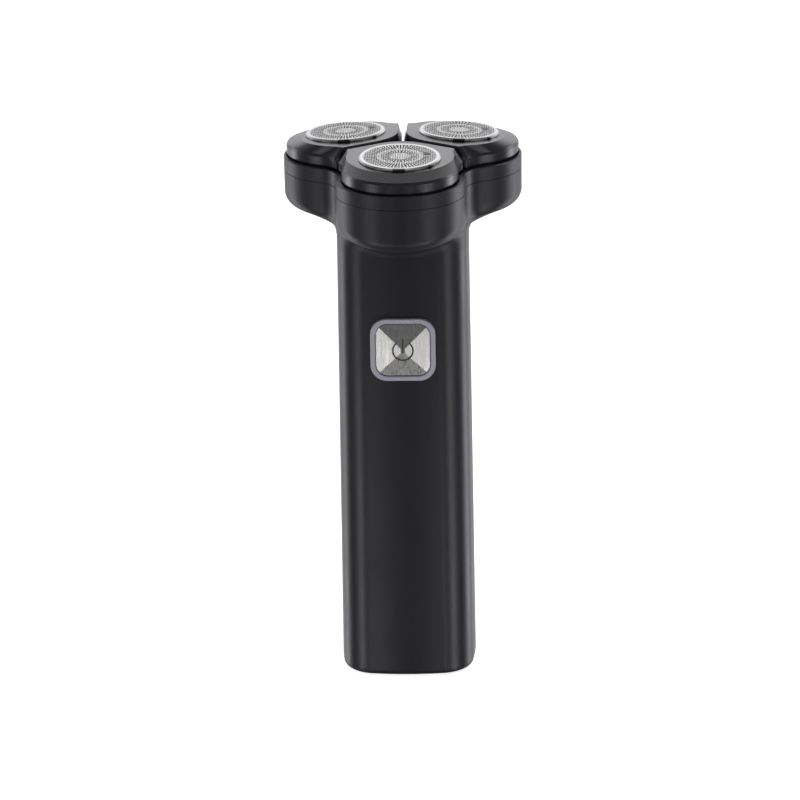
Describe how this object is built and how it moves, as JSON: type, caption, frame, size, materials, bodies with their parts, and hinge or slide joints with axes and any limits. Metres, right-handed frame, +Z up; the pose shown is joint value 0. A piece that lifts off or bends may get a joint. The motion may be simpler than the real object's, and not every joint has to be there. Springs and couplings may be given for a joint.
{
  "type": "rotary electric shaver",
  "caption": "Cordless rotary shaver: square-section black handle with a push button and a lobed head of floating slotted cutters driven by a gear train.",
  "frame": {"origin": "centre of the handle's section, on the flat underside of the bottom cap", "axes": "+Z up the handle to the cutting head; the power button and the front pod face -Y; +X is to the right seen from the front"},
  "size_m": [0.062, 0.0581, 0.1441],
  "materials": {
    "battery_wrap": "shrink sleeve",
    "blade_steel": "ground blade steel",
    "board_green": "green solder mask",
    "brass": "turned brass",
    "brushed_button": "vertically brushed steel",
    "component_black": "moulded epoxy packages",
    "end_cap_black": "fine textured black plastic",
    "foil_steel": "polished, slotted cutter steel",
    "frosted_light": "milky translucent plastic",
    "grey_nylon": "grey glass-filled nylon",
    "led_lens": "clear led lens",
    "magnet_nickel": "nickel plated magnet",
    "motor_steel": "drawn steel can",
    "natural_nylon": "natural white acetal",
    "nickel_strip": "nickel strip",
    "pod_black": "semi-gloss black plastic",
    "satin_black": "satin black moulded plastic",
    "silicone": "soft grey silicone",
    "spring_steel": "drawn spring wire",
    "switch_metal": "pressed switch cover",
    "zinc_steel": "bright zinc plate"
  },
  "bodies": {
    "handle": {"body_sleeve": "satin_black", "bottom_cap": "end_cap_black", "port_shell": "switch_metal", "port_tongue": "component_black", "circuit_board": "board_green", "board_components": "component_black", "tact_switch": "switch_metal", "status_leds": "led_lens", "battery_cell": "battery_wrap", "battery_tabs": "nickel_strip", "inner_frame": "grey_nylon", "motor_can": "motor_steel", "motor_end_bell": "component_black", "motor_screws": "zinc_steel", "light_ring": "frosted_light", "button_seal": "silicone", "head_base": "pod_black", "gear_cover": "grey_nylon", "spindle_bushes": "brass", "gear_pins": "zinc_steel", "base_magnets": "magnet_nickel", "cover_screws": "zinc_steel"},
    "rotor": {"motor_shaft": "zinc_steel", "drive_pinion": "brass"},
    "button": {"power_button": "brushed_button"},
    "head_frame": {"cutter_frame": "pod_black", "frame_magnets": "magnet_nickel", "float_spring_front": "spring_steel", "float_spring_right": "spring_steel", "float_spring_left": "spring_steel"},
    "drive_front": {"drive_gear_front": "natural_nylon", "spindle_spring_front": "spring_steel"},
    "spindle_front": {"drive_spindle_front": "natural_nylon"},
    "float_front": {"gimbal_ring_front": "grey_nylon"},
    "pod_front": {"pod_bezel_front": "pod_black", "foil_front": "foil_steel", "cutter_retainer_front": "grey_nylon"},
    "cutter_front": {"cutter_hub_front": "grey_nylon", "cutter_blades_front": "blade_steel"},
    "drive_right": {"drive_gear_right": "natural_nylon", "spindle_spring_right": "spring_steel"},
    "spindle_right": {"drive_spindle_right": "natural_nylon"},
    "float_right": {"gimbal_ring_right": "grey_nylon"},
    "pod_right": {"pod_bezel_right": "pod_black", "foil_right": "foil_steel", "cutter_retainer_right": "grey_nylon"},
    "cutter_right": {"cutter_hub_right": "grey_nylon", "cutter_blades_right": "blade_steel"},
    "drive_left": {"drive_gear_left": "natural_nylon", "spindle_spring_left": "spring_steel"},
    "spindle_left": {"drive_spindle_left": "natural_nylon"},
    "float_left": {"gimbal_ring_left": "grey_nylon"},
    "pod_left": {"pod_bezel_left": "pod_black", "foil_left": "foil_steel", "cutter_retainer_left": "grey_nylon"},
    "cutter_left": {"cutter_hub_left": "grey_nylon", "cutter_blades_left": "blade_steel"}
  },
  "joints": [
    {"name": "button_press", "type": "slide", "parent": "handle", "child": "button", "axis": [0, 1, 0], "range_m": [0, 0.0005], "stiffness_N_per_m": 2500},
    {"name": "motor_spin", "type": "hinge", "parent": "handle", "child": "rotor", "pos_m": [0, 0, 0.1222], "axis": [0, 0, 1], "continuous": true},
    {"name": "head_lift", "type": "slide", "parent": "handle", "child": "head_frame", "axis": [0, 0, 1], "range_m": [0, 0.02]},
    {"name": "gear_front_spin", "type": "hinge", "parent": "handle", "child": "drive_front", "pos_m": [0, -0.01675, 0.128], "axis": [0, 0, 1], "continuous": true},
    {"name": "spindle_front_slide", "type": "slide", "parent": "drive_front", "child": "spindle_front", "axis": [0, 0, -1], "range_m": [0, 0.001], "deforming": ["spindle_spring_front"]},
    {"name": "pod_front_press", "type": "slide", "parent": "head_frame", "child": "float_front", "axis": [0, 0, -1], "range_m": [0, 0.001], "stiffness_N_per_m": 700, "deforming": ["float_spring_front"]},
    {"name": "pod_front_tilt", "type": "hinge", "parent": "float_front", "child": "pod_front", "pos_m": [0, -0.01675, 0.1376], "axis": [1, 0, 0], "range_deg": [-2, 2], "stiffness_Nm_per_rad": 0.6},
    {"name": "cutter_front_spin", "type": "hinge", "parent": "pod_front", "child": "cutter_front", "pos_m": [0, -0.01675, 0.1376], "axis": [0, -0.0523, 0.9986], "continuous": true},
    {"name": "gear_right_spin", "type": "hinge", "parent": "handle", "child": "drive_right", "pos_m": [0.01451, 0.00838, 0.128], "axis": [0, 0, 1], "continuous": true},
    {"name": "spindle_right_slide", "type": "slide", "parent": "drive_right", "child": "spindle_right", "axis": [0, 0, -1], "range_m": [0, 0.001], "deforming": ["spindle_spring_right"]},
    {"name": "pod_right_press", "type": "slide", "parent": "head_frame", "child": "float_right", "axis": [0, 0, -1], "range_m": [0, 0.001], "stiffness_N_per_m": 700, "deforming": ["float_spring_right"]},
    {"name": "pod_right_tilt", "type": "hinge", "parent": "float_right", "child": "pod_right", "pos_m": [0.01451, 0.00838, 0.1376], "axis": [-0.5, 0.866, 0], "range_deg": [-2, 2], "stiffness_Nm_per_rad": 0.6},
    {"name": "cutter_right_spin", "type": "hinge", "parent": "pod_right", "child": "cutter_right", "pos_m": [0.01451, 0.00838, 0.1376], "axis": [0.0453, 0.0262, 0.9986], "continuous": true},
    {"name": "gear_left_spin", "type": "hinge", "parent": "handle", "child": "drive_left", "pos_m": [-0.01451, 0.00838, 0.128], "axis": [0, 0, 1], "continuous": true},
    {"name": "spindle_left_slide", "type": "slide", "parent": "drive_left", "child": "spindle_left", "axis": [0, 0, -1], "range_m": [0, 0.001], "deforming": ["spindle_spring_left"]},
    {"name": "pod_left_press", "type": "slide", "parent": "head_frame", "child": "float_left", "axis": [0, 0, -1], "range_m": [0, 0.001], "stiffness_N_per_m": 700, "deforming": ["float_spring_left"]},
    {"name": "pod_left_tilt", "type": "hinge", "parent": "float_left", "child": "pod_left", "pos_m": [-0.01451, 0.00838, 0.1376], "axis": [-0.5, -0.866, 0], "range_deg": [-2, 2], "stiffness_Nm_per_rad": 0.6},
    {"name": "cutter_left_spin", "type": "hinge", "parent": "pod_left", "child": "cutter_left", "pos_m": [-0.01451, 0.00838, 0.1376], "axis": [-0.0453, 0.0262, 0.9986], "continuous": true}
  ],
  "couplings": [
    {"joint": "gear_front_spin", "follows": "motor_spin", "ratio": -0.28846},
    {"joint": "cutter_front_spin", "follows": "motor_spin", "ratio": -0.28846},
    {"joint": "spindle_front_slide", "follows": "pod_front_press", "ratio": 1},
    {"joint": "gear_right_spin", "follows": "motor_spin", "ratio": -0.28846},
    {"joint": "cutter_right_spin", "follows": "motor_spin", "ratio": -0.28846},
    {"joint": "spindle_right_slide", "follows": "pod_right_press", "ratio": 1},
    {"joint": "gear_left_spin", "follows": "motor_spin", "ratio": -0.28846},
    {"joint": "cutter_left_spin", "follows": "motor_spin", "ratio": -0.28846},
    {"joint": "spindle_left_slide", "follows": "pod_left_press", "ratio": 1}
  ]
}
